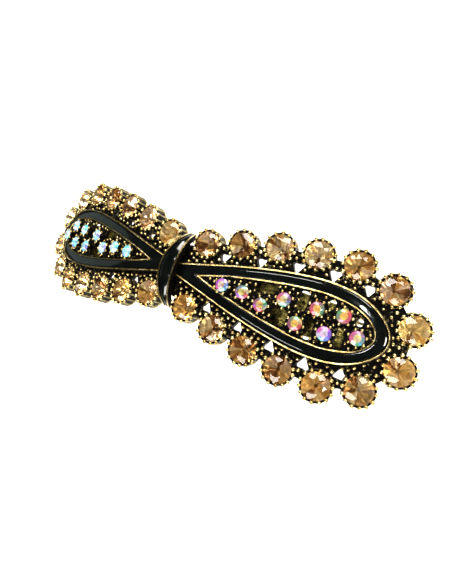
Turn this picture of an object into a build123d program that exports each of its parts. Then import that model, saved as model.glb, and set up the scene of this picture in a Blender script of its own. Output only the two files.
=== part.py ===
from build123d import *
import math
import os

# Rhinestone hair clip: an arched bow-shaped casting set with glass stones, on a French clip.
# Millimetres. +X runs along the clip, +Y across it, +Z up out of its face, and the clip
# stands on Z = 0. A place on the arch is given as u along it, v across it and h above the
# stone plane, the cylinder that passes through the middle of every big stone's crown.

# Arch
bend_radius = 155.0
pin_height = 2.6
pin_u = -40.5
pin_h = -9.67

# Big stones and their cups: u and v of the seven that line half of one lobe
big_places = [(5.9, 7.8), (14.5, 9.95), (23.0, 11.7), (31.45, 12.75), (39.95, 13.0), (48.1, 10.6), (54.0, 4.33)]
big_radius = 3.0
big_table_radius = 1.7
big_table_h = 0.55
big_girdle_h = -0.55
big_culet_h = -3.25
big_cup_radius = 3.9
big_cup_bottom = -3.6
big_cup_top = -0.35

# Small stones and their cups: u and v of the nine inside one ring
small_places = [
    (14.5, -0.15),
    (19.4, -0.15),
    (24.0, -1.34),
    (28.3, 1.34),
    (32.0, -2.49),
    (35.1, 1.8),
    (37.95, -2.42),
    (40.35, 2.19),
    (44.05, -1.04),
]
small_radius = 1.5
small_table_radius = 0.85
small_table_h = 3.05
small_girdle_h = 2.4
small_culet_h = 1.05
small_cup_radius = 2.0
small_cup_bottom = 0.2
small_cup_top = 2.5

# Both stones and their seats
facets = 12
girdle_thickness = 0.15
culet_radius = 0.25
seat_gap = 0.04
seat_reach = 3.0
culet_hole_radius = 0.5

# Plate of the casting, and its piercings as u, v and radius
plate_bottom = -1.8
plate_top = -0.6
pad_radius = 3.0
waist_half_width = 6.4
waist_half_length = 2.6
land_half_length = 12.0
piercings = [(11.3, 5.95, 1.7), (20.0, 7.5, 1.6), (28.0, 8.9, 1.7), (35.8, 9.75, 1.8), (43.3, 9.1, 1.7)]
piercing_fillet = 0.35

# Plate inside each ring, and its openings as u, v, length, width and turn
inner_bottom = -0.1
inner_top = 1.0
opening_fillet = 0.5
openings = [
    (23.75, 2.45, 4.3, 1.7, 8.0),
    (28.2, -2.4, 3.2, 3.1, 0.0),
    (32.0, 2.45, 1.8, 3.9, 0.0),
    (34.9, -2.7, 1.4, 3.9, 0.0),
    (37.75, 3.7, 1.3, 1.6, 0.0),
    (41.2, -2.1, 1.5, 3.6, 0.0),
    (43.9, 2.1, 1.3, 1.2, 0.0),
]

# Teardrop rings: half outlines from the knot to the tip, as u and v
ring_outer = [
    (1.2, 1.45),
    (10.0, 3.62),
    (20.0, 5.98),
    (30.0, 7.7),
    (36.0, 8.1),
    (41.0, 7.6),
    (45.6, 5.9),
    (50.1, 0.0),
]
ring_inner = [
    (7.9, 0.0),
    (10.4, 0.77),
    (20.0, 3.05),
    (30.0, 4.73),
    (36.0, 5.17),
    (41.0, 4.65),
    (45.0, 3.05),
    (47.0, 0.0),
]
ring_wall = 0.4
ring_top = 1.2
outer_plate_bite = 0.6
inner_plate_bite = 0.35
enamel_bottom = -0.58
enamel_top = 1.05

# Knot band, an arc across the clip that narrows to its ends
knot_half_span = 9.5
knot_end_h = -2.3
knot_top_h = 3.4
knot_thickness = 1.2
knot_half_width = 2.15
knot_end_half_width = 0.65
knot_wall = 0.45
knot_enamel_depth = 0.5
knot_enamel_sink = 0.1

# French clip
bar_top = -1.82
bar_thickness = 0.8
bar_half_length = 42.0
bar_half_width = 4.3
arm_top = -9.22
arm_thickness = 0.9
arm_half_width = 3.5
arm_end_u = 44.2
pin_radius = 0.8
pin_head_radius = 1.2
pin_head_thickness = 0.35
knuckle_radius = 1.45
running_gap = 0.05
ear_thickness = 0.65
ear_half_length = 2.1
ear_fillet = 0.9
rivet_u = 4.2
rivet_radius = 0.8
rivet_head_radius = 1.5
rivet_head_thickness = 0.5
rivet_head_round = 0.4
rivet_depth = 0.9
film = 0.02

# Tension spring and its keepers
spring_half_length = 35.0
spring_half_width = 2.6
spring_thickness = 0.35
spring_end_h = -2.75
spring_mid_h = -4.25
keeper_u = 34.0
keeper_half_length = 1.0
keeper_wall = 0.5
keeper_depth = 1.4
keeper_half_width = 3.4

# Catch: a plate under the bar's free end, and two legs that pass through the arm's window
catch_u_low = 37.8
catch_plate_thickness = 0.45
leg_thickness = 0.5
leg_v = 2.25
leg_gap = 0.06
prong_low_x = 36.7
prong_high_x = 39.4
tab_low_x = 42.4
tab_high_x = 44.6
bridge_z = 4.6
tab_foot_z = 0.5
barb_reach = 0.5
barb_root = 0.1
barb_low_z = 0.3
barb_high_z = 1.7
window_low_u = 38.0
window_high_u = 42.6
window_half_width = 3.05
arm_end_half_width = 4.2
arm_end_margin = 3.0

# Lengths that are sure to pass through the whole clip, through one lobe and through one wall
reach = 60.0
lobe_root_u = -1.0
lobe_half_width = 20.0
cut_margin = 1.0


def angle_at(u):
    return u / bend_radius


crown_z = pin_height + bend_radius * (1 - math.cos(angle_at(pin_u))) - pin_h * math.cos(angle_at(pin_u))


def at(u, v, h):
    """The point at a place on the arch."""
    radius = bend_radius + h
    x = radius * math.sin(angle_at(u))
    z = crown_z - bend_radius + radius * math.cos(angle_at(u))
    return Vector(x, v, z)


def local(u, v, h):
    """The location at a place on the arch, its Z along the arch's normal."""
    return Pos(at(u, v, h)) * Rot(0, math.degrees(angle_at(u)), 0)


def plan(u, v, h=0.0):
    """The place seen from straight above, for an outline at height h."""
    point = at(u, v, h)
    return (point.X, point.Y)


def slab(h_low, h_high, u_low, u_high, half_width):
    """A strip of the arch between two heights."""
    stations = (u_low, (u_low + u_high) / 2, u_high)
    low = [at(u, 0, h_low) for u in stations]
    high = [at(u, 0, h_high) for u in stations]
    edges = [
        ThreePointArc(*low),
        Line(low[2], high[2]),
        ThreePointArc(high[2], high[1], high[0]),
        Line(high[0], low[0]),
    ]
    return extrude(make_face(edges), amount=half_width, both=True)


def lobe_slab(h_low, h_high):
    """A strip of the arch, as wide and long as one whole lobe."""
    return slab(h_low, h_high, lobe_root_u, reach, lobe_half_width)


def column(sketch):
    """A plan outline drawn through the whole height of the clip."""
    return extrude(sketch, amount=reach, both=True)


def side_plate(sketch, v_low, v_high):
    """An outline in X and Z, given thickness across the clip."""
    return Pos(0, v_high, 0) * extrude(Plane.XZ * sketch, amount=v_high - v_low)


def both_lobes(part):
    """A part of the right lobe, joined to its mirror image on the left."""
    return part + mirror(part, about=Plane.YZ)


def mirrored_v(places):
    """The places of one half of a lobe, then those of the other half."""
    return list(places) + [(u, -v) for u, v in reversed(places) if v > 0]


# Stones


def stone(radius, table_radius, table_h, girdle_h, culet_h):
    """A round chaton with flat facets, its girdle at h = girdle_h above its own origin."""
    top = girdle_h + girdle_thickness
    girdle = RegularPolygon(radius, facets)
    table = RegularPolygon(table_radius, facets)
    crown = loft([Pos(0, 0, top) * girdle, Pos(0, 0, table_h) * table], ruled=True)
    belt = Pos(0, 0, girdle_h) * extrude(girdle, amount=girdle_thickness)
    point = Pos(0, 0, culet_h) * RegularPolygon(culet_radius, facets)
    pavilion = loft([point, Pos(0, 0, girdle_h) * girdle], ruled=True)
    return crown + belt + pavilion


def seat(radius, girdle_h, culet_h, bottom):
    """What a stone's seat removes from its cup, down through the cup's floor."""
    wide = radius + seat_gap
    points = [
        (0, girdle_h + seat_reach),
        (wide, girdle_h + seat_reach),
        (wide, girdle_h - seat_gap),
        (culet_hole_radius, culet_h),
        (culet_hole_radius, bottom - cut_margin),
        (0, bottom - cut_margin),
    ]
    return revolve(Plane.XZ * make_face(Polyline(*points, close=True)), axis=Axis.Z)


def cup(radius, bottom, top):
    """A solid cup, before its seat is cut."""
    return Pos(0, 0, (bottom + top) / 2) * Cylinder(radius, top - bottom)


# Casting


def grown(half_outline, wall):
    """A half outline moved outwards by wall, each point along its own normal."""
    moved = []
    last = len(half_outline) - 1
    for index, (u, v) in enumerate(half_outline):
        before = half_outline[max(index - 1, 0)]
        after = half_outline[min(index + 1, last)]
        turn = math.atan2(after[1] - before[1], after[0] - before[0])
        if index == last:
            moved.append((u + wall, v))
        elif v == 0:
            moved.append((u - wall / math.sin(turn), v))
        else:
            moved.append((u - wall * math.sin(turn), v + wall * math.cos(turn)))
    return moved


def slope(start, end):
    """The direction from one point to another."""
    return (end[0] - start[0], end[1] - start[1])


def teardrop(half_outline, wall=0.0):
    """A closed ring outline, drawn at the height of the ring's top."""
    points = [plan(u, v, ring_top) for u, v in grown(half_outline, wall)]
    upper = Spline(*points, tangents=[slope(points[0], points[1]), (0, -1)])
    edges = [upper, mirror(upper, about=Plane.XZ)]
    if points[0][1] > 0:
        edges.append(Line((points[0][0], -points[0][1]), points[0]))
    return make_face(edges)


def plate_outline():
    """The scalloped plan of one lobe, from the middle of the clip to its tip."""
    rim = [(0.0, waist_half_width)] + big_places
    corners = [plan(u, v) for u, v in rim]
    corners += [(x, -y) for x, y in reversed(corners)]
    outline = make_face(Polyline(*corners, close=True))
    for u, v in mirrored_v(big_places):
        outline += Pos(*plan(u, v)) * Circle(pad_radius)
    waist = Rectangle(2 * waist_half_length, 2 * waist_half_width)
    beyond = Rectangle(2 * waist_half_length, 4 * waist_half_width) - waist
    half_plane = Pos(reach, 0) * Rectangle(2 * reach, 2 * reach)
    return (outline - beyond) & half_plane


def piercing(u, v, radius):
    """The plan of a rounded triangle that points at the ring."""
    triangle = RegularPolygon(radius, 3, rotation=math.copysign(90, -v))
    return Pos(*plan(u, v)) * fillet(triangle.vertices(), piercing_fillet)


def opening(u, v, length, width, turn):
    """The plan of a rounded window between the small cups."""
    return Pos(*plan(u, v)) * Rot(0, 0, turn) * RectangleRounded(length, width, opening_fillet)


def inner_plate():
    """The flat web inside one ring, which carries the small cups."""
    ground = column(teardrop(ring_inner, ring_wall * inner_plate_bite))
    ground -= [column(opening(*place)) for place in openings]
    return ground & lobe_slab(inner_bottom, inner_top)


def ring_walls():
    """The two walls of a ring's channel."""
    outer = teardrop(ring_outer) - teardrop(ring_outer, -ring_wall)
    inner = teardrop(ring_inner, ring_wall) - teardrop(ring_inner)
    return [column(wall) & lobe_slab(plate_bottom, ring_top) for wall in (outer, inner)]


def pierced_plate():
    """The flat web of one lobe, open inside the ring and between the cups."""
    ground = column(plate_outline() - teardrop(ring_inner, ring_wall * outer_plate_bite))
    ground -= [column(piercing(u, side * v, radius)) for u, v, radius in piercings for side in (-1, 1)]
    return ground & lobe_slab(plate_bottom, plate_top)


def lobe():
    """Half of the casting."""
    big_cup = cup(big_cup_radius, big_cup_bottom, big_cup_top)
    small_cup = cup(small_cup_radius, small_cup_bottom, small_cup_top)
    cups = [local(u, v, 0) * big_cup for u, v in mirrored_v(big_places)]
    cups += [local(u, v, 0) * small_cup for u, v in small_places]
    body = pierced_plate() + ring_walls() + [inner_plate()] + cups
    big_seat = seat(big_radius, big_girdle_h, big_culet_h, big_cup_bottom)
    small_seat = seat(small_radius, small_girdle_h, small_culet_h, small_cup_bottom)
    seats = [local(u, v, 0) * big_seat for u, v in mirrored_v(big_places)]
    seats += [local(u, v, 0) * small_seat for u, v in small_places]
    return body - seats


def front_casting():
    """Both lobes, with a flat land for the bar and two rivet holes in it."""
    body = both_lobes(lobe())
    land_h = (plate_bottom + bar_top) / 2
    land_low = big_cup_bottom - cut_margin
    body -= slab(land_low, land_h, -land_half_length, land_half_length, bar_half_width + running_gap)
    for side in (-1, 1):
        body -= local(side * rivet_u, 0, plate_bottom) * Cylinder(rivet_radius + film, 2 * rivet_depth)
    return body


def ring_enamel():
    """The fill of the right ring's channel, to either side of which stands a wall."""
    outline = teardrop(ring_outer, -ring_wall - film) - teardrop(ring_inner, ring_wall + film)
    return column(outline) & lobe_slab(enamel_bottom, enamel_top)


# Knot


def knot_outline(wall):
    """The band's plan: two arcs that meet the squared ends."""
    half_width = knot_half_width - wall
    end = knot_end_half_width - wall
    span = knot_half_span + cut_margin
    right = ThreePointArc((end, -span), (half_width, 0), (end, span))
    left = ThreePointArc((-end, span), (-half_width, 0), (-end, -span))
    edges = [right, Line(right @ 1, left @ 0), left, Line(left @ 1, right @ 0)]
    return make_face(edges)


def knot_hoop(depth_low, depth_high):
    """The arc across the clip, between two depths below its outer face."""
    rise = knot_top_h - knot_end_h
    radius = (knot_half_span**2 + rise**2) / (2 * rise)
    centre = Pos(0, crown_z + knot_top_h - radius)
    hoop = Circle(radius - depth_low) - Circle(radius - depth_high)
    above = Pos(0, crown_z + knot_end_h + reach / 2) * Rectangle(reach, reach)
    return extrude(Plane.YZ * ((centre * hoop) & above), amount=reach, both=True)


def knot_band():
    """The band, with a channel along its outer face."""
    band = column(knot_outline(0)) & knot_hoop(0, knot_thickness)
    return band - (column(knot_outline(knot_wall)) & knot_hoop(-cut_margin, knot_enamel_depth))


def knot_enamel():
    """The fill of the band's channel."""
    return column(knot_outline(knot_wall + film)) & knot_hoop(knot_enamel_sink, knot_enamel_depth - film)


# French clip


def hinge_ear(v_low, v_high):
    """A lug that comes down from the bar and holds the pin, its foot on Z = 0."""
    pin = at(pin_u, 0, pin_h)
    top = at(pin_u, 0, bar_top - bar_thickness / 2).Z
    outline = Pos(pin.X, top / 2) * Rectangle(2 * ear_half_length, top)
    outline = fillet(outline.vertices().sort_by(Axis.Y)[:2], ear_fillet)
    outline -= Pos(pin.X, pin.Z) * Circle(pin_radius + film)
    return side_plate(outline, v_low, v_high)


def keeper(u):
    """A staple under the bar that the spring's end slides through."""
    low = bar_top - bar_thickness - keeper_depth
    high = bar_top - bar_thickness / 2
    length = keeper_half_length
    block = slab(low, high, u - length, u + length, keeper_half_width)
    length += cut_margin
    inner = slab(low + keeper_wall, high + cut_margin, u - length, u + length, keeper_half_width - keeper_wall)
    return block - inner


def base_bar():
    """The arched bar, with its hinge ears and spring keepers."""
    bar = slab(bar_top - bar_thickness, bar_top, -bar_half_length, bar_half_length, bar_half_width)
    inner = bar_half_width - ear_thickness
    bar += hinge_ear(inner, bar_half_width)
    bar += hinge_ear(-bar_half_width, -inner)
    bar += keeper(keeper_u)
    bar += keeper(-keeper_u)
    for side in (-1, 1):
        bar -= local(side * rivet_u, 0, bar_top) * Cylinder(rivet_radius + film, 4 * bar_thickness)
    return bar


def bar_rivets():
    """Two rivets: a shank up into the casting, and a domed head under the bar."""
    bottom = bar_top - bar_thickness - film
    top = plate_bottom + rivet_depth - film
    rivets = []
    for side in (-1, 1):
        shank = Pos(0, 0, (top + bottom) / 2) * Cylinder(rivet_radius, top - bottom)
        head = Pos(0, 0, bottom - rivet_head_thickness / 2) * Cylinder(rivet_head_radius, rivet_head_thickness)
        head = fillet(head.edges().sort_by(Axis.Z)[0], rivet_head_round)
        rivets.append(local(side * rivet_u, 0, 0) * (shank + head))
    return Compound(children=rivets)


def hinge_pin():
    """The pin with a head outside each ear."""
    pin = at(pin_u, 0, pin_h)
    half = bar_half_width + film
    shaft = Cylinder(pin_radius, 2 * half)
    head = Cylinder(pin_head_radius, pin_head_thickness)
    for side in (-1, 1):
        shaft += Pos(0, 0, side * (half + pin_head_thickness / 2)) * head
    return Pos(pin) * Rot(90, 0, 0) * shaft


def clasp_arm():
    """The lower arm: a knuckle on the pin, and a window near its free end for the catch."""
    low = arm_top - arm_thickness
    pin = at(pin_u, 0, pin_h)
    arm = slab(low, arm_top, pin_u, arm_end_u, arm_half_width)
    arm += slab(low, arm_top, window_low_u - arm_end_margin, arm_end_u, arm_end_half_width)
    arm += Pos(pin) * Rot(90, 0, 0) * Cylinder(knuckle_radius, 2 * arm_half_width)
    arm -= Pos(pin) * Rot(90, 0, 0) * Cylinder(pin_radius + running_gap, 4 * arm_half_width)
    arm -= slab(low - cut_margin, arm_top + cut_margin, window_low_u, window_high_u, window_half_width)
    return arm


def tension_spring():
    """A thin leaf, flatter than the arch, so that it bows away from the bar in the middle."""
    low = [at(u, 0, h - spring_thickness) for u, h in spring_line()]
    high = [at(u, 0, h) for u, h in spring_line()]
    edges = [
        ThreePointArc(*low),
        Line(low[2], high[2]),
        ThreePointArc(high[2], high[1], high[0]),
        Line(high[0], low[0]),
    ]
    return extrude(make_face(edges), amount=spring_half_width, both=True)


def spring_line():
    """The spring's upper face, as u and h."""
    return [(-spring_half_length, spring_end_h), (0, spring_mid_h), (spring_half_length, spring_end_h)]


def catch_plate():
    """The plate under the bar's free end that the legs hang from."""
    top = bar_top - bar_thickness - film
    return slab(top - catch_plate_thickness, top, catch_u_low, bar_half_length, leg_v + leg_thickness / 2)


def catch_leg():
    """The back leg: a prong through the window with a barb, and a finger tab past the arm's end."""
    clear_h = bar_top - bar_thickness - film - catch_plate_thickness - leg_gap
    points = [
        (prong_low_x, 0),
        (prong_high_x, 0),
        (prong_high_x, bridge_z),
        (tab_low_x, bridge_z),
        (tab_low_x, tab_foot_z),
        (tab_high_x, tab_foot_z),
        (tab_high_x, crown_z),
        (prong_low_x, crown_z),
    ]
    outline = make_face(Polyline(*points, close=True))
    low_v = leg_v - leg_thickness / 2
    high_v = leg_v + leg_thickness / 2
    leg = side_plate(outline, low_v, high_v)
    leg -= slab(clear_h, reach, catch_u_low - reach / 2, reach, lobe_half_width)
    barb = [
        (high_v - barb_root, barb_low_z),
        (high_v, barb_low_z),
        (high_v + barb_reach, barb_high_z),
        (high_v - barb_root, barb_high_z),
    ]
    wedge = extrude(Plane.YZ * make_face(Polyline(*barb, close=True)), amount=prong_high_x - prong_low_x)
    return leg + Pos(prong_low_x, 0, 0) * wedge


# Every node


def nodes():
    """Every part of the clip by its node's name."""
    made = {"front_casting": front_casting(), "knot_band": knot_band(), "knot_enamel": knot_enamel()}
    enamel = ring_enamel()
    made["ring_enamel_right"] = enamel
    made["ring_enamel_left"] = mirror(enamel, about=Plane.YZ)
    big = stone(big_radius, big_table_radius, big_table_h, big_girdle_h, big_culet_h)
    small = stone(small_radius, small_table_radius, small_table_h, small_girdle_h, small_culet_h)
    for side, lobe_name in ((1, "right"), (-1, "left")):
        for number, (u, v) in enumerate(mirrored_v(big_places), 1):
            made[f"champagne_stone_{lobe_name}_{number:02d}"] = local(side * u, v, 0) * big
        for number, (u, v) in enumerate(small_places, 1):
            made[f"aurora_stone_{lobe_name}_{number:02d}"] = local(side * u, v, 0) * small
    made["base_bar"] = base_bar()
    made["bar_rivets"] = bar_rivets()
    made["hinge_pin"] = hinge_pin()
    made["clasp_arm"] = clasp_arm()
    made["tension_spring"] = tension_spring()
    made["catch_plate"] = catch_plate()
    made["catch_leg_back"] = catch_leg()
    made["catch_leg_front"] = mirror(catch_leg(), about=Plane.XZ)
    return made


os.makedirs("parts", exist_ok=True)
for name, part in nodes().items():
    export_step(part, f"parts/{name}.step")
print("crown_z", round(crown_z, 4))
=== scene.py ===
import math
import random

import bmesh
import bpy
import numpy as np
from mathutils import Matrix, Quaternion, Vector


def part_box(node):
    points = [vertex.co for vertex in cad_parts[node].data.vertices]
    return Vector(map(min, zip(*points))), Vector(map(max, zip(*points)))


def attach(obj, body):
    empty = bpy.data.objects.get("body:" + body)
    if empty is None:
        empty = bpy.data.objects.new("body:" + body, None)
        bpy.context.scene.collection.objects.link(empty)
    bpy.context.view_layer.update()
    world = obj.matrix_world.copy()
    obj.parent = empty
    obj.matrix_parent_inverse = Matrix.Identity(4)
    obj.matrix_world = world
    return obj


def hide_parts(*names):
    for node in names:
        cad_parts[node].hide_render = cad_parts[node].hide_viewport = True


# Rhinestone hair clip. The clip and the camera are in millimetres, the lights and the floor in
# metres, as the frame is. A place on the arched casting is u along it, v across it and h above the
# plane of the big stones, as in the CAD model.

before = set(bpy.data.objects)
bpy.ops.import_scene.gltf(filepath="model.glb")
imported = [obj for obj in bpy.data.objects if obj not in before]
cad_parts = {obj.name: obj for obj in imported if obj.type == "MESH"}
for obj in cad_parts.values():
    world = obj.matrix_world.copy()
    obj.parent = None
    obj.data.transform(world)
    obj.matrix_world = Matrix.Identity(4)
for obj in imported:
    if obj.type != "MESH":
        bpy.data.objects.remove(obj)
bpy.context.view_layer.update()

MM = 0.001
BODY = "ornament"
LOBES = (("right", 1), ("left", -1))
BEND_RADIUS = 155.0
KNOT_TOP_H = 3.4
CROWN_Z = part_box("knot_band")[1].z / MM - KNOT_TOP_H
ARCH_CENTRE_Z = CROWN_Z - BEND_RADIUS

# Upper halves of the ring's outlines, from the knot to the tip, as (u, v).
RING_OUTER = [
    (1.2, 1.45),
    (10.0, 3.62),
    (20.0, 5.98),
    (30.0, 7.7),
    (36.0, 8.1),
    (41.0, 7.6),
    (45.6, 5.9),
    (50.1, 0.0),
]
RING_INNER = [
    (7.9, 0.0),
    (10.4, 0.77),
    (20.0, 3.05),
    (30.0, 4.73),
    (36.0, 5.17),
    (41.0, 4.65),
    (45.0, 3.05),
    (47.0, 0.0),
]
RING_WALL = 0.4
RING_TOP = 1.2
PLATE_TOP = -0.6
INNER_PLATE_TOP = 1.0
INNER_PLATE_BOTTOM = -0.1

# The drop-shaped piercings between the big cups, as (u, v, size), the same on both sides of v = 0.
PIERCINGS = [(11.3, 5.95, 1.7), (20.0, 7.5, 1.6), (28.0, 8.9, 1.7), (35.8, 9.75, 1.8), (43.3, 9.1, 1.7)]

# The openings of a ring's inner plate, as (u, v, length, width).
OPENINGS = [
    (23.75, 2.45, 4.3, 1.7),
    (28.2, -2.4, 3.2, 3.1),
    (32.0, 2.45, 1.8, 3.9),
    (34.9, -2.7, 1.4, 3.9),
    (37.75, 3.7, 1.3, 1.6),
    (41.2, -2.1, 1.5, 3.6),
    (43.9, 2.1, 1.3, 1.2),
]


# Places on the arch


def arch(places):
    """Places (u, v, h) as points of the frame, in metres."""
    u, v, h = np.asarray(places, float).reshape(-1, 3).T
    angle = u / BEND_RADIUS
    radius = BEND_RADIUS + h
    return np.column_stack((radius * np.sin(angle), v, ARCH_CENTRE_Z + radius * np.cos(angle))) * MM


def stand(u, v, h):
    """The matrix that stands a small part, drawn in millimetres, at a place on the arch."""
    angle = u / BEND_RADIUS
    place = Vector(arch([(u, v, h)])[0])
    return Matrix.Translation(place) @ Matrix.Rotation(angle, 4, "Y") @ Matrix.Scale(MM, 4)


def places_of(points):
    """Points of the frame, in millimetres, as places (u, v, h): arch() backwards."""
    x, y, z = np.asarray(points, float).reshape(-1, 3).T
    level = z - ARCH_CENTRE_Z
    return np.column_stack((np.arctan2(x, level) * BEND_RADIUS, y, np.hypot(x, level) - BEND_RADIUS))


def vertices_of(mesh):
    """A mesh's vertices, in millimetres."""
    return np.array([vertex.co for vertex in mesh.vertices], float) / MM


TABLE_DEPTH = 0.05


def place_of(node):
    """u, v and h of the middle of a stone's table, the flat top of its CAD node."""
    points = vertices_of(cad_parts[node].data)
    heights = places_of(points)[:, 2]
    table = points[heights > heights.max() - TABLE_DEPTH]
    middle = (table.min(0) + table.max(0)) / 2
    return tuple(places_of(middle)[0])


def stone_places(family, sign=0):
    """u and v of every stone of a family, or of those on the lobe of this sign."""
    places = [place_of(node)[:2] for node in sorted(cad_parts) if node.startswith(family)]
    return [place for place in places if place[0] * sign >= 0]


# Meshes


class Shape:
    """Vertices, faces, a material index for each face and a shade for each vertex."""

    def __init__(self):
        self.points = []
        self.faces = []
        self.slots = []
        self.shades = []

    def add(self, points, faces, slots=None, shades=None):
        first = len(self.points)
        self.points.extend(tuple(point) for point in points)
        self.faces.extend(tuple(first + index for index in face) for face in faces)
        self.slots.extend([0] * len(faces) if slots is None else slots)
        self.shades.extend([1.0] * len(points) if shades is None else shades)

    def build(self, name, materials, smooth=True, facet_colors=None):
        """Makes the piece, which rides on the ornament; facet_colors has a colour for each face."""
        mesh = bpy.data.meshes.new(name)
        mesh.from_pydata(self.points, [], self.faces)
        for material in materials:
            mesh.materials.append(material)
        mesh.polygons.foreach_set("material_index", self.slots)
        mesh.polygons.foreach_set("use_smooth", [smooth] * len(self.faces))
        shade = mesh.attributes.new("shade", "FLOAT", "POINT")
        shade.data.foreach_set("value", self.shades)
        if facet_colors is not None:
            # One colour for each face; on the champagne stones these are painted reflections and painted
            # shade.
            facet_layer = mesh.attributes.new("facet", "FLOAT_COLOR", "CORNER")
            corners = [color for face, color in zip(self.faces, facet_colors) for _ in face]
            facet_layer.data.foreach_set("color", np.array(corners, np.float32).ravel())
        mesh.validate()
        mesh.update()
        piece = bpy.data.objects.new(name, mesh)
        bpy.context.scene.collection.objects.link(piece)
        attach(piece, BODY)
        return piece


def transformed(matrix, points):
    return [tuple(matrix @ Vector(point)) for point in points]


def circle(radius, count, height, start=0.0):
    """Points on a circle; start is a share of one step."""
    turns = [2 * math.pi * (index + start) / count for index in range(count)]
    return [(radius * math.cos(turn), radius * math.sin(turn), height) for turn in turns]


BEAD_SHADE = 0.75
BEAD_SHADE_RISE = 1.1


def ball(radius, rings=7, sides=12):
    """A bead: points, faces, and a shade that darkens towards its foot."""
    points = [(0, 0, radius)]
    for ring in range(1, rings):
        polar = math.pi * ring / rings
        points += circle(radius * math.sin(polar), sides, radius * math.cos(polar))
    points.append((0, 0, -radius))
    last = len(points) - 1
    faces = [(0, 1 + side, 1 + (side + 1) % sides) for side in range(sides)]
    for ring in range(rings - 2):
        low = 1 + ring * sides
        for side in range(sides):
            after = (side + 1) % sides
            faces.append((low + side, low + sides + side, low + sides + after, low + after))
    low = 1 + (rings - 2) * sides
    faces += [(last, low + (side + 1) % sides, low + side) for side in range(sides)]
    shades = [min(1.0, max(0.0, BEAD_SHADE + BEAD_SHADE_RISE * z / radius)) for _, _, z in points]
    return points, faces, shades


def add_bead(shape, u, v, h, radius, dice):
    """Adds a bead of slightly random size and tilt at a place on the arch."""
    points, faces, shades = ball(radius * dice.uniform(0.93, 1.07))
    tilt = Matrix.Rotation(dice.uniform(-0.15, 0.15), 4, "X")
    shape.add(transformed(stand(u, v, h) @ tilt, points), faces, shades=shades)


def tube_faces(rows, sides, closed=False):
    """The faces between rows of points, with a cap at each end unless the rows close."""
    faces = []
    for row in range(rows if closed else rows - 1):
        low = row * sides
        high = (row + 1) % rows * sides
        for side in range(sides):
            after = (side + 1) % sides
            faces.append((low + side, low + after, high + after, high + side))
    if not closed:
        faces.append(tuple(range(sides))[::-1])
        faces.append(tuple((rows - 1) * sides + side for side in range(sides)))
    return faces


def tube(path, radius, sides=8, closed=False):
    """A tube along places of the arch; radius is one number or one for each place."""
    places = np.asarray(path, float)
    count = len(places)
    radii = np.broadcast_to(np.asarray(radius, float), (count,))
    ahead = np.roll(places, -1, 0) - np.roll(places, 1, 0)
    if not closed:
        ahead[0] = places[1] - places[0]
        ahead[-1] = places[-1] - places[-2]
    ahead /= np.linalg.norm(ahead, axis=1, keepdims=True)
    side_way = np.cross(ahead, (0.0, 0.0, 1.0))
    side_way /= np.linalg.norm(side_way, axis=1, keepdims=True)
    up_way = np.cross(side_way, ahead)
    points = []
    for index in range(count):
        for side in range(sides):
            turn = 2 * math.pi * side / sides
            offset = math.cos(turn) * side_way[index] + math.sin(turn) * up_way[index]
            points.append(places[index] + radii[index] * offset)
    return arch(points), tube_faces(count, sides, closed)


def add_post(shape, matrix, x, y, heights, widths, sides=8):
    """Adds a round post that stands along the arch's normal, lighter towards its top."""
    points = []
    for height, width in zip(heights, widths):
        for px, py, pz in circle(width, sides, height):
            points.append((x + px, y + py, pz))
    span = heights[-1] - heights[0]
    shades = [0.35 + 0.4 * (height - heights[0]) / span for height in heights for _ in range(sides)]
    shape.add(transformed(matrix, points), tube_faces(len(heights), sides), shades=shades)


# Outlines of the rings


def grown(half_outline, wall):
    """A half outline moved outwards by wall, each point along its own normal."""
    moved = []
    last = len(half_outline) - 1
    for index, (u, v) in enumerate(half_outline):
        before = half_outline[max(index - 1, 0)]
        after = half_outline[min(index + 1, last)]
        turn = math.atan2(after[1] - before[1], after[0] - before[0])
        if index == last:
            moved.append((u + wall, v))
        elif v == 0:
            moved.append((u - wall / math.sin(turn), v))
        else:
            moved.append((u - wall * math.sin(turn), v + wall * math.cos(turn)))
    return moved


SPLINE_STEPS = 40


def smooth_line(points, count, end_slope):
    """A C2 cubic spline through points, by chord length, sampled at count even steps."""
    knots = np.asarray(points, float)
    steps = np.linalg.norm(np.diff(knots, axis=0), axis=1)
    at = np.concatenate(([0.0], np.cumsum(steps)))
    size = len(knots)
    system = np.zeros((size, size))
    right = np.zeros((size, 2))
    system[0, 0] = 1
    right[0] = (knots[1] - knots[0]) / steps[0]
    system[-1, -1] = 1
    right[-1] = end_slope
    for row in range(1, size - 1):
        before, after = steps[row - 1], steps[row]
        system[row, row - 1 : row + 2] = (1 / before, 2 / before + 2 / after, 1 / after)
        rise = (knots[row] - knots[row - 1]) / before**2 + (knots[row + 1] - knots[row]) / after**2
        right[row] = 3 * rise
    slopes = np.linalg.solve(system, right)
    fine = []
    for index in range(size - 1):
        for part in np.linspace(0, 1, SPLINE_STEPS, endpoint=index == size - 2):
            square, cube = part**2, part**3
            fine.append(
                (2 * cube - 3 * square + 1) * knots[index]
                + (cube - 2 * square + part) * steps[index] * slopes[index]
                + (3 * square - 2 * cube) * knots[index + 1]
                + (cube - square) * steps[index] * slopes[index + 1]
            )
    return evenly(np.array(fine), count)


def evenly(line, count):
    """The same line as count points at equal distances."""
    run = np.concatenate(([0.0], np.cumsum(np.linalg.norm(np.diff(line, axis=0), axis=1))))
    wanted = np.linspace(0, run[-1], count)
    return np.column_stack([np.interp(wanted, run, line[:, axis]) for axis in range(line.shape[1])])


def ring_line(half_outline, wall, count=240):
    """Half of a ring's outline, from the knot to the tip, as (u, v)."""
    return smooth_line(grown(half_outline, wall), count, (0.0, -1.0))


def inside(line, u, v):
    """Whether a place is inside the closed outline whose upper half is line."""
    if not line[0, 0] <= u <= line[-1, 0]:
        return False
    return abs(v) <= np.interp(u, line[:, 0], line[:, 1])


# Materials


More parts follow.
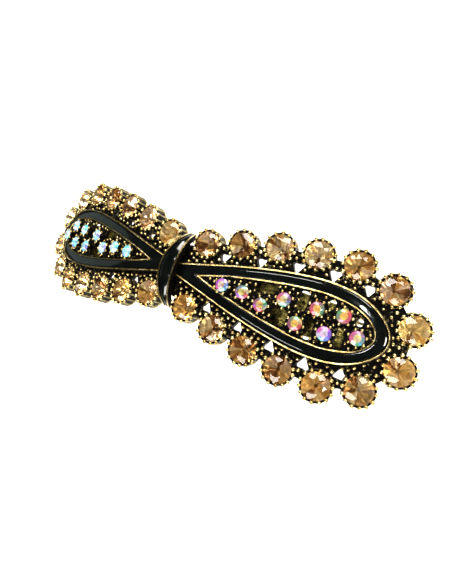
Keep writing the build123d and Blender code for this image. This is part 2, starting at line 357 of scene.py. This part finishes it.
class Look:
    """A procedural material: short names for its nodes and links."""

    def __init__(self, name):
        self.material = bpy.data.materials.new(name)
        self.material.use_nodes = True
        self.tree = self.material.node_tree
        self.shader = self.tree.nodes["Principled BSDF"]

    def node(self, kind, links=None, **settings):
        node = self.tree.nodes.new(kind)
        for key, value in settings.items():
            setattr(node, key, value)
        for socket, source in (links or {}).items():
            if isinstance(source, bpy.types.NodeSocket):
                self.tree.links.new(source, node.inputs[socket])
            else:
                node.inputs[socket].default_value = source
        return node

    def set(self, **values):
        for key, value in values.items():
            socket = self.shader.inputs[key.replace("_", " ")]
            if isinstance(value, bpy.types.NodeSocket):
                self.tree.links.new(value, socket)
            else:
                socket.default_value = value

    def place(self):
        return self.node("ShaderNodeTexCoord").outputs["Object"]

    def normal(self):
        """The X, Y and Z of the surface's normal."""
        geometry = self.node("ShaderNodeNewGeometry")
        return self.node("ShaderNodeSeparateXYZ", {0: geometry.outputs["Normal"]}).outputs

    def noise(self, scale, detail=3.0, rough=0.55, vector=None):
        links = {"Vector": vector or self.place(), "Scale": scale, "Detail": detail, "Roughness": rough}
        return self.node("ShaderNodeTexNoise", links).outputs["Fac"]

    def ramp(self, value, stops):
        """Colours or greys at positions along value."""
        node = self.node("ShaderNodeValToRGB", {"Fac": value})
        elements = node.color_ramp.elements
        while len(elements) < len(stops):
            elements.new(0.5)
        for element, (position, color) in zip(elements, stops):
            element.position = position
            element.color = (*color, 1.0) if isinstance(color, tuple) else (color, color, color, 1.0)
        return node.outputs["Color"]

    def mix(self, factor, low, high):
        links = {"Factor": factor}
        node = self.node("ShaderNodeMix", links, data_type="RGBA")
        for index, value in ((6, low), (7, high)):
            if isinstance(value, bpy.types.NodeSocket):
                self.tree.links.new(value, node.inputs[index])
            else:
                node.inputs[index].default_value = (*value, 1.0)
        return node.outputs[2]

    def math(self, operation, a, b=0.0):
        return self.node("ShaderNodeMath", {0: a, 1: b}, operation=operation).outputs[0]

    def attribute(self, name, output="Fac"):
        return self.node("ShaderNodeAttribute", attribute_name=name).outputs[output]

    def bump(self, height, strength, distance):
        links = {"Height": height, "Strength": strength, "Distance": distance}
        return self.node("ShaderNodeBump", links).outputs["Normal"]

    def arch_height(self):
        """Height above the arch's stone plane, in millimetres."""
        parts = self.node("ShaderNodeSeparateXYZ", {0: self.place()}).outputs
        level = self.math("SUBTRACT", parts["Z"], ARCH_CENTRE_Z * MM)
        across = self.math("MULTIPLY", parts["X"], parts["X"])
        radius = self.math("SQRT", self.math("ADD", across, self.math("MULTIPLY", level, level)))
        return self.math("DIVIDE", self.math("SUBTRACT", radius, BEND_RADIUS * MM), MM)

    def step(self, value, low, high):
        """0 below low, 1 above high, smooth between."""
        links = {"Value": value, "From Min": low, "From Max": high}
        node = self.node("ShaderNodeMapRange", links, interpolation_type="SMOOTHSTEP")
        return node.outputs["Result"]


GOLD_BRIGHT = (0.87, 0.77, 0.46)
GOLD_MID = (0.57, 0.45, 0.20)
GOLD_DEEP = (0.28, 0.19, 0.06)
PATINA = (0.0035, 0.003, 0.0022)


def antique_gold(name, mask):
    """Gold plate with black left in the recesses. mask(look) is 1 where the gold is polished clean."""
    look = Look(name)
    clean = mask(look)
    cloud = look.noise(900.0, 4.0)
    tone = look.ramp(cloud, [(0.3, GOLD_DEEP), (0.5, GOLD_MID), (0.68, GOLD_BRIGHT)])
    speck = look.noise(5200.0, 2.0)
    worn = look.math("MULTIPLY", clean, look.step(speck, 0.22, 0.42))
    polish = look.math("MULTIPLY", worn, -0.14)
    grit = look.math("ADD", 0.34, look.math("MULTIPLY", speck, 0.12))
    look.set(
        Base_Color=look.mix(worn, PATINA, tone),
        Metallic=look.step(worn, 0.05, 0.6),
        Roughness=look.math("ADD", polish, grit),
        Specular_IOR_Level=0.12,
        Normal=look.bump(look.noise(2600.0, 4.0), 0.3, 0.00005),
    )
    return look.material


BACK_DEPTH = (1.72, 1.85)


def casting_material():
    """Black patina with a few bright specks; dull gold on what faces back, below the plates."""

    def mask(look):
        depth = look.math("MULTIPLY", look.arch_height(), -1.0)
        under = look.step(look.math("MULTIPLY", look.normal()["Z"], -1.0), 0.4, 0.7)
        back = look.math("MULTIPLY", under, look.step(depth, *BACK_DEPTH))
        worn_back = look.math("MULTIPLY", back, look.step(look.noise(420.0, 4.0), 0.30, 0.52))
        stray = look.math("MULTIPLY", look.step(look.noise(1700.0, 3.0), 0.60, 0.68), 0.75)
        return look.math("MAXIMUM", worn_back, stray)

    return antique_gold("antique_gold_casting", mask)


def shaded_gold(name):
    """Antique gold that is as clean as the mesh's own shade says."""
    return antique_gold(name, lambda look: look.attribute("shade"))


def knot_material():
    """The knot band's lips are gold and its sides black."""

    def mask(look):
        side = look.math("ABSOLUTE", look.normal()["X"])
        return look.math("SUBTRACT", 1.0, look.step(side, 0.75, 0.95))

    return antique_gold("antique_gold_knot", mask)


def enamel_material(name, polish, coat):
    """Poured black enamel: a faint orange peel, a few dust specks and a dark green body."""
    look = Look(name)
    cloud = look.noise(260.0, 3.0)
    speck = look.step(look.noise(3800.0, 1.0), 0.74, 0.8)
    body = look.ramp(cloud, [(0.35, (0.0015, 0.002, 0.0018)), (0.7, (0.004, 0.006, 0.005))])
    look.set(
        Base_Color=look.mix(speck, body, (0.03, 0.035, 0.03)),
        Roughness=look.math("ADD", 0.05, look.math("MULTIPLY", cloud, 0.08)),
        Specular_IOR_Level=0.5,
        Coat_Weight=coat,
        Coat_IOR=1.55,
        Coat_Roughness=polish,
        Normal=look.bump(look.noise(420.0, 2.0), 0.3, 0.0001),
    )
    return look.material


def glass_material(name, clear, facet_share):
    """The upper part of a cut stone: glass coloured a little facet by facet, partly its own colour and, on
    the champagne stones, partly painted shade, with fine polishing haze.
    """
    look = Look(name)
    haze = look.noise(2400.0, 3.0)
    share = look.math("ADD", facet_share, look.math("MULTIPLY", haze, 0.1))
    look.set(
        Base_Color=look.mix(share, clear, look.attribute("facet", "Color")),
        Roughness=look.math("MULTIPLY", look.step(haze, 0.45, 0.8), 0.02),
        IOR=1.52,
        Transmission_Weight=1.0,
    )
    return look.material


def foil_material(name, shadow, metallic):
    """The mirrored back of a cut stone, coloured facet by facet; on the champagne stones its light and dark
    facets are painted reflections.
    """
    look = Look(name)
    grain = look.noise(1800.0, 3.0)
    look.set(
        Base_Color=look.mix(look.math("MULTIPLY", grain, 0.2), look.attribute("facet", "Color"), shadow),
        Metallic=metallic,
        Roughness=look.math("ADD", 0.06, look.math("MULTIPLY", grain, 0.1)),
    )
    return look.material


def steel_material(name, color, dents=0.0):
    """Gold-washed sheet steel, brushed along the clip, with dull stains and, if asked for, dents. With
    dents the bright and dark mottle grows finer and darker: partly stains, partly painted light and shade
    for what the dents reflect.
    """
    look = Look(name)
    along = {"Vector": look.place(), "Scale": (12.0, 500.0, 500.0)}
    stretched = look.node("ShaderNodeMapping", along).outputs["Vector"]
    brush = look.noise(9.0, 5.0, 0.7, stretched)
    # Stains; on the dented bar the bright and dark patches also serve as painted light and shade for what
    # the dents reflect.
    stain_and_sheen = look.noise(190.0 + 300.0 * dents, 4.0)
    dark = tuple((0.35 - 0.20 * dents) * part for part in color)
    scratches = look.math("MULTIPLY", brush, 0.15)
    hollows = look.math("MULTIPLY", look.noise(900.0, 2.0), dents)
    look.set(
        Base_Color=look.mix(look.step(stain_and_sheen, 0.44, 0.68 - 0.08 * dents), color, dark),
        Metallic=1.0,
        Roughness=look.math("ADD", 0.20 - 0.06 * dents, look.math("MULTIPLY", brush, 0.26)),
        Normal=look.bump(look.math("ADD", scratches, hollows), 0.6, 0.0003),
    )
    return look.material


# Stones

BIG = {
    "radius": 3.0,
    "table": 1.55,
    "table_h": 0.55,
    "star": 2.35,
    "star_h": 0.16,
    "girdle_h": -0.55,
    "culet_h": -3.1,
}
SMALL = {
    "radius": 1.5,
    "table": 0.8,
    "table_h": 3.05,
    "star": 1.18,
    "star_h": 2.82,
    "girdle_h": 2.4,
    "culet_h": 1.15,
}
GIRDLE = 0.15
CULET_SHARE = 0.13
SIDES = 8
BACK = ("culet", "main")


def cut_stone(size):
    """A round chaton: its points, its faces, and for each face which ring of facets it is in."""
    sides = SIDES
    belt = 2 * sides
    points = circle(size["table"], sides, size["table_h"])
    points += circle(size["star"], sides, size["star_h"], 0.5)
    points += circle(size["radius"], belt, size["girdle_h"] + GIRDLE)
    points += circle(size["radius"], belt, size["girdle_h"])
    points += circle(size["radius"] * CULET_SHARE, belt, size["culet_h"])
    star, upper = sides, 2 * sides
    lower, culet = upper + belt, upper + 2 * belt
    faces = [tuple(range(sides)), tuple(culet + index for index in reversed(range(belt)))]
    rings = ["table", "culet"]
    for side in range(sides):
        after = (side + 1) % sides
        before = (side - 1) % sides
        main = 2 * side
        half = main + 1
        next_main = (main + 2) % belt
        faces.append((side, star + side, after))
        faces.append((side, star + before, upper + main, star + side))
        faces.append((star + side, upper + main, upper + half))
        faces.append((star + side, upper + half, upper + next_main))
        rings += ["star", "kite", "break", "break"]
    for index in range(belt):
        after = (index + 1) % belt
        faces.append((upper + index, lower + index, lower + after, upper + after))
        faces.append((lower + index, culet + index, culet + after, lower + after))
        rings += ["girdle", "main"]
    return points, faces, rings


# Foil colours of the champagne stones: the stone's gold, and light and dark facets that are painted
# reflections of what each mirror would show.
CHAMPAGNE_BACK_GOLD_AND_REFLECTIONS = [
    (1.00, 0.93, 0.66),
    (1.00, 0.86, 0.50),
    (0.98, 0.76, 0.38),
    (0.82, 0.56, 0.25),
    (0.40, 0.24, 0.10),
    (1.00, 0.88, 0.74),
    (0.25, 0.14, 0.06),
]
# Crown colours of the champagne stones: a pale champagne cast, some facets darker as painted shade.
CHAMPAGNE_FRONT_TINT_AND_SHADE = [
    (1.0, 0.98, 0.93),
    (1.0, 0.93, 0.80),
    (0.95, 0.83, 0.66),
    (0.84, 0.70, 0.54),
    (1.0, 0.92, 0.92),
]
AURORA_HEART_WARM = [(1.0, 0.95, 0.30), (1.0, 1.0, 0.92), (1.0, 0.86, 0.35), (1.0, 0.98, 0.55)]
AURORA_HEART_COOL = [(0.75, 0.95, 1.0), (1.0, 1.0, 1.0), (0.55, 0.90, 1.0), (1.0, 0.93, 0.98)]
AURORA_RIM_WARM = [
    (0.03, 0.62, 1.0),
    (0.08, 0.28, 1.0),
    (0.20, 0.08, 1.0),
    (0.38, 0.06, 1.0),
    (0.62, 0.06, 0.95),
    (0.90, 0.05, 0.45),
    (0.80, 1.0, 1.0),
]
AURORA_RIM_COOL = [
    (0.10, 0.85, 1.0),
    (0.20, 0.50, 1.0),
    (0.50, 0.28, 1.0),
    (0.35, 1.0, 1.0),
    (1.0, 1.0, 1.0),
]
REPEAT_CHANCE = 0.35
HEART_CHANCE = 0.7


def facet_colors(points, faces, rings, dice, family, heart, rim):
    """A colour for each face: for the champagne stones pale and gold colours, with light and dark facets
    that are painted reflections and painted shade; for the aurora stones a rainbow that runs round its rim.
    """
    colors = []
    start = dice.uniform(0, len(rim))
    centre = dice.choice(heart)
    for face, ring in zip(faces, rings):
        middle = np.mean([points[index] for index in face], axis=0)
        share = math.atan2(middle[1], middle[0]) / math.tau % 1.0
        # Champagne facets get light and dark colours at random: painted reflections.
        if family == "champagne" and ring == "main":
            repeats = len(colors) > 3 and dice.random() < REPEAT_CHANCE
            color = colors[-2][:3] if repeats else dice.choice(CHAMPAGNE_BACK_GOLD_AND_REFLECTIONS)
        elif family == "champagne":
            color = dice.choice(CHAMPAGNE_BACK_GOLD_AND_REFLECTIONS if ring in BACK else CHAMPAGNE_FRONT_TINT_AND_SHADE)
        elif ring in ("main", "table", "culet"):
            color = centre if dice.random() < HEART_CHANCE else dice.choice(heart)
        else:
            color = rim[int(start + share * len(rim)) % len(rim)]
        colors.append((*color, 1.0))
    return colors


def stones():
    """A cut stone of clear glass and foil in the place of each plain CAD stone."""
    champagne_glass = glass_material("champagne_glass", (1.0, 0.95, 0.86), 0.8)
    aurora_glass = glass_material("aurora_glass", (1.0, 1.0, 1.0), 0.92)
    champagne_foil = foil_material("champagne_foil", (0.45, 0.22, 0.08), 0.7)
    aurora_foil = foil_material("aurora_foil", (1.0, 0.90, 0.45), 0.2)
    looks = {
        "champagne": (BIG, [champagne_glass, champagne_foil]),
        "aurora": (SMALL, [aurora_glass, aurora_foil]),
    }
    dice = random.Random(7)
    for node in sorted(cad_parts):
        family = node.split("_")[0]
        if family not in looks:
            continue
        size, materials = looks[family]
        points, faces, rings = cut_stone(size)
        u, v, top = place_of(node)
        matrix = stand(u, v, top - size["table_h"]) @ Matrix.Rotation(dice.uniform(0, math.tau), 4, "Z")
        shape = Shape()
        backs = [1 if ring in BACK else 0 for ring in rings]
        shape.add(transformed(matrix, points), faces, backs)
        heart, rim = (AURORA_HEART_WARM, AURORA_RIM_WARM) if u > 0 else (AURORA_HEART_COOL, AURORA_RIM_COOL)
        # On the champagne stones these facet colours are painted reflections and painted shade.
        colors = facet_colors(points, faces, rings, dice, family, heart, rim)
        piece = shape.build(f"{node}_cut", materials, smooth=False, facet_colors=colors)
        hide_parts(node)


# Beads, ribs and edges of the casting

PRONGS = 14
PRONG_RADIUS = 0.43
PRONG_CIRCLE = 3.41
PRONG_H = -0.26
SMALL_PRONGS = 7
SMALL_PRONG_RADIUS = 0.31
SMALL_PRONG_CIRCLE = 1.8
SMALL_PRONG_H = 2.42
PRONG_DRIFT = 0.14

# A cup's CAD radius, its radius here, and the heights between which its wall is drawn in.
CUP = (3.9, 3.42, -3.8, -0.2)
SMALL_CUP = (2.0, 1.68, 0.0, 2.7)
CUP_WALL_SLACK = 0.08


def narrowed_casting(material):
    """The casting, its cups drawn in to the foot of their beads."""
    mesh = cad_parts["front_casting"].data.copy()
    mesh.name = "casting"
    places = places_of(vertices_of(mesh))
    widen_openings(places)
    points = arch(places)
    for family, (outer, waist, low, high) in (("champagne", CUP), ("aurora", SMALL_CUP)):
        for u, v in stone_places(family):
            matrix = np.array(stand(u, v, 0))
            inverse = np.linalg.inv(matrix)
            spots = points @ inverse[:3, :3].T + inverse[:3, 3]
            far = np.hypot(spots[:, 0], spots[:, 1])
            wall = (np.abs(far - outer) < CUP_WALL_SLACK) & (spots[:, 2] > low) & (spots[:, 2] < high)
            spots[wall, :2] *= (waist / far[wall])[:, None]
            points[wall] = spots[wall] @ matrix[:3, :3].T + matrix[:3, 3]
    mesh.vertices.foreach_set("co", points.ravel())
    mesh.update()
    mesh.materials.clear()
    mesh.materials.append(material)
    piece = bpy.data.objects.new("casting", mesh)
    bpy.context.scene.collection.objects.link(piece)
    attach(piece, BODY)
    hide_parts("front_casting")


INNER_PLATE_THIN = 0.5
OPENING_GROWTH = 0.16
OPENING_REACH = (0.1, 0.35)
PLATE_SLACK = 0.05
BOTTOM_SLACK = 0.03


def widen_openings(places):
    """Grows the openings of the inner plates and raises the plates' undersides, in place."""
    along, across, heights = places.T
    in_plate = (heights > INNER_PLATE_BOTTOM - PLATE_SLACK) & (heights < INNER_PLATE_TOP + PLATE_SLACK)
    for sign in (-1, 1):
        for u, v, length, width in OPENINGS:
            du, dv = along - sign * u, across - v
            near_u = np.abs(du) < length / 2 + OPENING_REACH[0]
            near_v = np.abs(dv) < width / 2 + OPENING_REACH[1]
            near = in_plate & near_u & near_v
            along[near] += np.clip(du[near] / (length / 2), -1, 1) * OPENING_GROWTH
            across[near] += np.clip(dv[near] / (width / 2), -1, 1) * OPENING_GROWTH
    inner = ring_line(RING_INNER, RING_WALL)
    for index in np.flatnonzero(np.abs(heights - INNER_PLATE_BOTTOM) < BOTTOM_SLACK):
        if inside(inner, abs(along[index]), across[index]):
            heights[index] = INNER_PLATE_THIN


def prong_beads(material):
    """The beads that hold each stone, one piece for each lobe and family."""
    dice = random.Random(11)
    for family, count, reach, h, radius in (
        ("champagne", PRONGS, PRONG_CIRCLE, PRONG_H, PRONG_RADIUS),
        ("aurora", SMALL_PRONGS, SMALL_PRONG_CIRCLE, SMALL_PRONG_H, SMALL_PRONG_RADIUS),
    ):
        for lobe, sign in LOBES:
            shape = Shape()
            for u, v in stone_places(family, sign):
                start = dice.uniform(0, 1)
                for index in range(count):
                    drift = dice.uniform(-PRONG_DRIFT, PRONG_DRIFT)
                    turn = 2 * math.pi * (index + start + drift) / count
                    across, along = reach * math.sin(turn), reach * math.cos(turn)
                    add_bead(shape, u + along, v + across, h, radius, dice)
            shape.build(f"{family}_prong_beads_{lobe}", [material])


RIB_CIRCLE = 3.46
RIB_RADIUS = 0.18
RIB_HEIGHTS = (-3.4, -2.7, -1.9, -1.2, -0.6, -0.3)
RIB_SWELL = (0.8, 0.9, 1.0, 1.0, 0.95, 0.5)
FOOT_CIRCLE = 3.4
FOOT_H = -3.35
FOOT_RADIUS = 0.26
FOOT_POINTS = 39
FOOT_SHADE = 0.45


def cup_ribs(material):
    """Ribs down each big cup's wall and the roll round its foot."""
    widths = [RIB_RADIUS * part for part in RIB_SWELL]
    for lobe, sign in LOBES:
        shape = Shape()
        for u, v in stone_places("champagne", sign):
            for x, y, _ in circle(RIB_CIRCLE, PRONGS, 0.0):
                add_post(shape, stand(u, v, 0), x, y, RIB_HEIGHTS, widths)
            foot = [(u + x, v + y, FOOT_H) for x, y, _ in circle(FOOT_CIRCLE, FOOT_POINTS, 0.0)]
            points, faces = tube(foot, FOOT_RADIUS, closed=True)
            shape.add(points, faces, shades=[FOOT_SHADE] * len(points))
        shape.build(f"cup_ribs_{lobe}", [material])


GRAIN_RADIUS = 0.42
GRAIN_SPACING = 1.22
GRAIN_LIFT = 0.16
SMALL_GRAIN_RADIUS = 0.32
SMALL_GRAIN_SPACING = 1.0
SMALL_GRAIN_LIFT = 0.14
GRAIN_TRIES = 9000
GRAIN_FIELD_U = (2.6, 56.0)
GRAIN_FIELD_V = (-14.0, 14.0)
RIM_AT_KNOT = (0.0, 6.4)


def grains(material):
    """Loose granulation on the black plate: round the rings, between the cups, and inside the rings."""
    outer = ring_line(RING_OUTER, 0.0)
    inner = ring_line(RING_INNER, 0.0)
    big = stone_places("champagne", 1)
    small = stone_places("aurora", 1)
    rim = np.array([RIM_AT_KNOT] + sorted(place for place in big if place[1] > 0))
    for lobe, sign in LOBES:
        dice = random.Random(5)
        shape = Shape()
        for fits, around, spacing, radius, h in (
            (on_plate, (big, outer, rim), GRAIN_SPACING, GRAIN_RADIUS, PLATE_TOP + GRAIN_LIFT),
            (
                on_inner_plate,
                (small, inner),
                SMALL_GRAIN_SPACING,
                SMALL_GRAIN_RADIUS,
                INNER_PLATE_TOP + SMALL_GRAIN_LIFT,
            ),
        ):
            taken = []
            for _ in range(GRAIN_TRIES):
                place = (dice.uniform(*GRAIN_FIELD_U), dice.uniform(*GRAIN_FIELD_V))
                if fits(place, *around) and all(math.dist(place, other) > spacing for other in taken):
                    taken.append(place)
            for u, v in taken:
                add_bead(shape, sign * u, v, h, radius * dice.uniform(0.85, 1.1), dice)
        shape.build(f"granulation_{lobe}", [material])


def gap_to(line, u, v):
    """Distance from a place to the outline whose upper half is line."""
    return np.min(np.hypot(line[:, 0] - u, line[:, 1] - abs(v)))


RIM_GAP = 0.1
PRONG_GAP = 0.05
RING_GAP = 0.14
INNER_RING_GAP = 0.1
PIERCING_SHARE = 0.66
PIERCING_GAP = 0.12
OPENING_OVERLAP = 0.05


def on_plate(place, big, outer, rim):
    """Whether a grain at place clears the stones' beads, the ring and the piercings."""
    u, v = place
    if u > rim[-1, 0] or abs(v) > np.interp(u, rim[:, 0], rim[:, 1]) - RIM_GAP:
        return False
    reach = PRONG_CIRCLE + PRONG_RADIUS + GRAIN_RADIUS + PRONG_GAP
    if min(math.dist(place, stone) for stone in big) < reach:
        return False
    if inside(outer, u, v) or gap_to(outer, u, v) < GRAIN_RADIUS + RING_GAP:
        return False
    return all(
        math.dist((u, abs(v)), (hole_u, hole_v)) > size * PIERCING_SHARE + PIERCING_GAP
        for hole_u, hole_v, size in PIERCINGS
    )


def on_inner_plate(place, small, inner):
    """Whether a grain at place clears the small cups, the ring's wall and the openings."""
    u, v = place
    if not inside(inner, u, v) or gap_to(inner, u, v) < SMALL_GRAIN_RADIUS + INNER_RING_GAP:
        return False
    reach = SMALL_PRONG_CIRCLE + SMALL_PRONG_RADIUS + SMALL_GRAIN_RADIUS
    if min(math.dist(place, stone) for stone in small) < reach:
        return False
    margin = OPENING_GROWTH - OPENING_OVERLAP
    for hole_u, hole_v, length, width in OPENINGS:
        if abs(u - hole_u) < length / 2 + margin and abs(v - hole_v) < width / 2 + margin:
            return False
    return True


EDGE_POINTS = 420
EDGE_RADIUS = 0.17
EDGE_SWELL = 0.02
EDGE_TWIST = 2.1


def ring_edges(material):
    """The fine roped lines on top of each ring's two walls."""
    walls = (("outer", RING_OUTER, -RING_WALL / 2), ("inner", RING_INNER, RING_WALL / 2))
    for lobe, sign in LOBES:
        for name, outline, wall in walls:
            line = ring_line(outline, wall, EDGE_POINTS)
            upper = [(sign * u, v, RING_TOP) for u, v in line]
            lower = [(sign * u, -v, RING_TOP) for u, v in line[-2::-1]]
            path = upper + lower
            closed = line[0, 1] == 0
            if closed:
                path.pop()
            radii = [EDGE_RADIUS + EDGE_SWELL * math.sin(index * EDGE_TWIST) for index in range(len(path))]
            shape = Shape()
            shape.add(*tube(path, radii, closed=closed))
            shape.build(f"ring_edge_{name}_{lobe}", [material])


# Enamel


RING_FILL_DEPTH = 1.2
RING_FILL_WELD = 0.02
RING_FILL_STEPS = 12
RING_FILL_POINTS = 200
STEM_POINTS = 30
FILL_BELOW_TOP = 0.30
OUTER_ROLL = (0.95, 0.23)
INNER_ROLL = (0.3, 0.05)


def ring_enamel(material):
    """The poured fill of each ring, highest along the middle of its channel."""
    outer = ring_line(RING_OUTER, -RING_WALL, RING_FILL_POINTS)
    apex = grown(RING_INNER, RING_WALL)[0][0]
    inner_wall = ring_line(RING_INNER, RING_WALL, 400)
    outer_wall = ring_line(RING_OUTER, -RING_WALL, 500)
    stem_u = np.linspace(outer[0, 0], apex, STEM_POINTS, endpoint=False)
    stem = np.column_stack((stem_u, np.zeros(STEM_POINTS)))
    inner = evenly(np.vstack((stem, inner_wall)), RING_FILL_POINTS)
    for lobe, sign in LOBES:
        rows = []
        for side in (1, -1):
            for step in range(RING_FILL_STEPS + 1):
                share = step / RING_FILL_STEPS
                line = inner * (1 - share) + outer * share
                rows.append([(sign * u, side * v, enamel_h(u, v, outer_wall, inner_wall)) for u, v in line])
        points = arch([place for row in rows for place in row])
        faces = []
        size = RING_FILL_POINTS
        for half in range(2):
            for step in range(RING_FILL_STEPS):
                low = (half * (RING_FILL_STEPS + 1) + step) * size
                for index in range(size - 1):
                    face = (low + index, low + index + 1, low + size + index + 1, low + size + index)
                    faces.append(face if (half == 0) == (sign < 0) else face[::-1])
        shape = Shape()
        shape.add(points, faces)
        piece = shape.build(f"ring_enamel_fill_{lobe}", [material])
        weld(piece, RING_FILL_WELD * MM)
        thicken(piece, RING_FILL_DEPTH * MM)
        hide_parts(f"ring_enamel_{lobe}")


def enamel_h(u, v, outer_wall, inner_wall):
    """Height of the fill: level in the middle, rolled down to the outer wall and a little to the inner."""
    height = RING_TOP - FILL_BELOW_TOP
    for wall, (width, rise) in ((outer_wall, OUTER_ROLL), (inner_wall, INNER_ROLL)):
        share = min(gap_to(wall, u, v) / width, 1.0)
        height += rise * (1 - (1 - share) ** 2)
    return height


def weld(piece, distance):
    """Joins the halves of a skin where they meet and turns its faces one way."""
    mesh = bmesh.new()
    mesh.from_mesh(piece.data)
    bmesh.ops.remove_doubles(mesh, verts=mesh.verts, dist=distance)
    bmesh.ops.dissolve_degenerate(mesh, edges=mesh.edges, dist=distance / 10)
    bmesh.ops.recalc_face_normals(mesh, faces=mesh.faces)
    mesh.to_mesh(piece.data)
    mesh.free()


def thicken(piece, depth):
    """Gives a skin its depth below, and applies it."""
    modifier = piece.modifiers.new("depth", "SOLIDIFY")
    modifier.thickness = depth
    modifier.offset = -1
    graph = bpy.context.evaluated_depsgraph_get()
    piece.data = bpy.data.meshes.new_from_object(piece.evaluated_get(graph))
    piece.modifiers.clear()


KNOT_HALF_SPAN = 9.5
KNOT_END_H = -2.3
KNOT_HALF_WIDTH = 2.15
KNOT_END_HALF_WIDTH = 0.65
KNOT_WALL = 0.45
KNOT_FILL_SHARE = 0.985
KNOT_ROLL = 0.2
KNOT_FILL_DEPTH = 0.3


def knot_enamel(material):
    """The band's fill, arched across the clip and narrower at its ends, with a soft ridge along it."""
    rise = KNOT_TOP_H - KNOT_END_H
    radius = (KNOT_HALF_SPAN**2 + rise**2) / (2 * rise)
    centre = CROWN_Z + KNOT_TOP_H - radius
    limit = math.asin(KNOT_HALF_SPAN / radius)
    along, across = 90, 14
    points = []
    for row in range(along + 1):
        turn = limit * KNOT_FILL_SHARE * (2 * row / along - 1)
        narrow = (radius * math.sin(turn) / KNOT_HALF_SPAN) ** 2
        half = (KNOT_HALF_WIDTH - KNOT_WALL) * (1 - narrow) + (KNOT_END_HALF_WIDTH - KNOT_WALL) * narrow
        for column in range(across + 1):
            share = 2 * column / across - 1
            out = radius - KNOT_ROLL + KNOT_ROLL * (1 - share**2)
            points.append((share * half, out * math.sin(turn), centre + out * math.cos(turn)))
    faces = []
    for row in range(along):
        for column in range(across):
            low = row * (across + 1) + column
            faces.append((low, low + 1, low + across + 2, low + across + 1))
    shape = Shape()
    shape.add([tuple(MM * value for value in point) for point in points], faces)
    piece = shape.build("knot_enamel_fill", [material])
    thicken(piece, KNOT_FILL_DEPTH * MM)
    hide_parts("knot_enamel")


# Finishes of the CAD nodes that stay


MECHANISM = (
    "bar_rivets",
    "hinge_pin",
    "clasp_arm",
    "catch_plate",
    "catch_leg_back",
    "catch_leg_front",
)


def finish_node(node, material):
    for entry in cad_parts[node].material_slots:
        entry.material = material


def metal_nodes():
    """The clip's mechanism and the knot band keep their CAD meshes."""
    steel = steel_material("gilt_steel", (0.72, 0.57, 0.20))
    for node in MECHANISM:
        finish_node(node, steel)
    finish_node("base_bar", steel_material("gilt_bar", (1.0, 0.82, 0.26), dents=1.0))
    finish_node("tension_spring", steel_material("spring_steel", (0.52, 0.44, 0.27)))
    finish_node("knot_band", knot_material())


# Stage

FLOOR_SIZE = 1.8
FLOOR_DROP = 0.09
CAMERA_PLACE = (61.0, -2.5, 81.2)
CAMERA_TARGET = (15.3, -1.25, 0.0)
CAMERA_ROLL = -68.3
CAMERA_LENS = 26.13


def floor():
    """A plain pale floor, low enough for the open arm to clear it."""
    low = (0.0, 0.0, -FLOOR_DROP)
    bpy.ops.mesh.primitive_grid_add(size=FLOOR_SIZE, x_subdivisions=8, y_subdivisions=8, location=low)
    ground = bpy.context.object
    ground.name = "floor"
    look = Look("pale_floor")
    cloud = look.noise(14.0, 3.0)
    look.set(
        Base_Color=look.ramp(cloud, [(0.3, (0.90, 0.90, 0.90)), (0.7, (0.92, 0.92, 0.92))]),
        Roughness=0.7,
    )
    ground.data.materials.append(look.material)


def light(name, place, target, size, power, color=(1.0, 1.0, 1.0)):
    data = bpy.data.lights.new(name, "AREA")
    data.shape = "RECTANGLE"
    data.size, data.size_y = size
    data.energy = power
    data.color = color
    lamp = bpy.data.objects.new(name, data)
    lamp.location = place
    lamp.rotation_mode = "QUATERNION"
    lamp.rotation_quaternion = (Vector(target) - Vector(place)).to_track_quat("-Z", "Y")
    bpy.context.scene.collection.objects.link(lamp)


def studio():
    """Large panels at either side; small lamps overhead draw thin highlights on the enamel."""
    world = bpy.data.worlds.new("studio")
    bpy.context.scene.world = world
    world.use_nodes = True
    background = world.node_tree.nodes["Background"]
    background.inputs["Color"].default_value = (0.90, 0.97, 0.95, 1.0)
    background.inputs["Strength"].default_value = 0.055
    view = bpy.context.scene.view_settings
    view.view_transform = "Standard"
    view.look = "Medium High Contrast"
    middle = (0.0, 0.0, 0.01)
    light("key_strip", (-0.05, 0.27, 0.62), middle, (0.30, 0.026), 0.6, (1.0, 0.98, 0.95))
    light("key_panel", (0.05, 0.62, 0.36), middle, (0.90, 0.36), 12.0, (1.0, 0.97, 0.92))
    light("fill_strip", (-0.02, -0.26, 0.62), middle, (0.28, 0.026), 0.45)
    light("fill_panel", (0.10, -0.62, 0.34), middle, (0.80, 0.32), 9.0, (1.0, 0.97, 0.92))
    light("top", (0.27, 0.05, 0.62), middle, (0.03, 0.02), 0.1, (1.0, 0.99, 0.97))
    light("side", (0.62, 0.05, 0.30), middle, (0.16, 0.12), 1.2)
    light("far_card", (-0.70, 0.0, 0.26), middle, (0.60, 0.36), 0.16, (0.82, 1.0, 0.93))


def camera():
    """A camera at the photograph's place, from a pinhole fit of the stones."""
    data = bpy.data.cameras.new("camera")
    data.lens = CAMERA_LENS
    data.clip_start = 0.005
    eye = bpy.data.objects.new("camera", data)
    lift = Vector((0, 0, CROWN_Z))
    place = (Vector(CAMERA_PLACE) + lift) * MM
    aim = (Vector(CAMERA_TARGET) + lift) * MM - place
    eye.location = place
    eye.rotation_mode = "QUATERNION"
    roll = Quaternion((0, 0, 1), math.radians(CAMERA_ROLL))
    eye.rotation_quaternion = aim.to_track_quat("-Z", "Y") @ roll
    bpy.context.scene.collection.objects.link(eye)
    bpy.context.scene.camera = eye


def main():
    camera()
    studio()
    floor()
    metal_nodes()
    beads = shaded_gold("antique_gold_beads")
    edges = shaded_gold("antique_gold_edges")
    narrowed_casting(casting_material())
    stones()
    prong_beads(beads)
    cup_ribs(edges)
    grains(beads)
    ring_edges(edges)
    ring_enamel(enamel_material("black_enamel", 0.02, 1.0))
    knot_enamel(enamel_material("black_enamel_band", 0.16, 0.3))


main()
